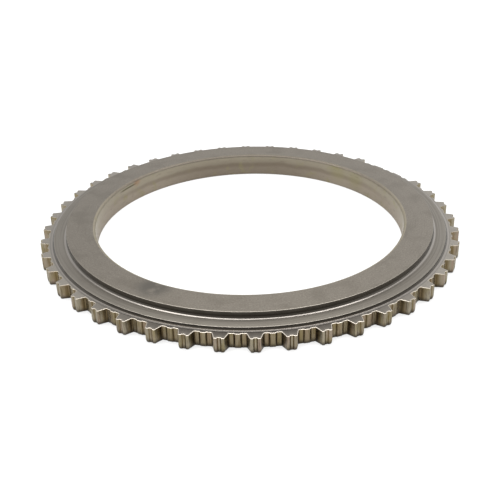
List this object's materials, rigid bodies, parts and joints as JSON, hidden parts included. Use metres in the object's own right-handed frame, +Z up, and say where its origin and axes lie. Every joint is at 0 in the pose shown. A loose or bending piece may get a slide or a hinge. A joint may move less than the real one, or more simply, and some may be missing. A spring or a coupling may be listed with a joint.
{
  "type": "clutch apply plate",
  "caption": "Thick steel ring with a large bore, a stepped raised pressure face and notched external teeth; presses on a wet clutch pack inside its drum.",
  "frame": {"origin": "centre of the bore in the plane of the flat underside", "axes": "+Z up along the bore axis, from the flat underside towards the raised pressure face; a tooth is centred on +X and on -Y"},
  "size_m": [0.165, 0.165, 0.0093],
  "materials": {
    "plate_steel": "satin, ground faces, turned steps and blanked tooth edges"
  },
  "bodies": {
    "root": {"apply_plate": "plate_steel"}
  },
  "joints": []
}
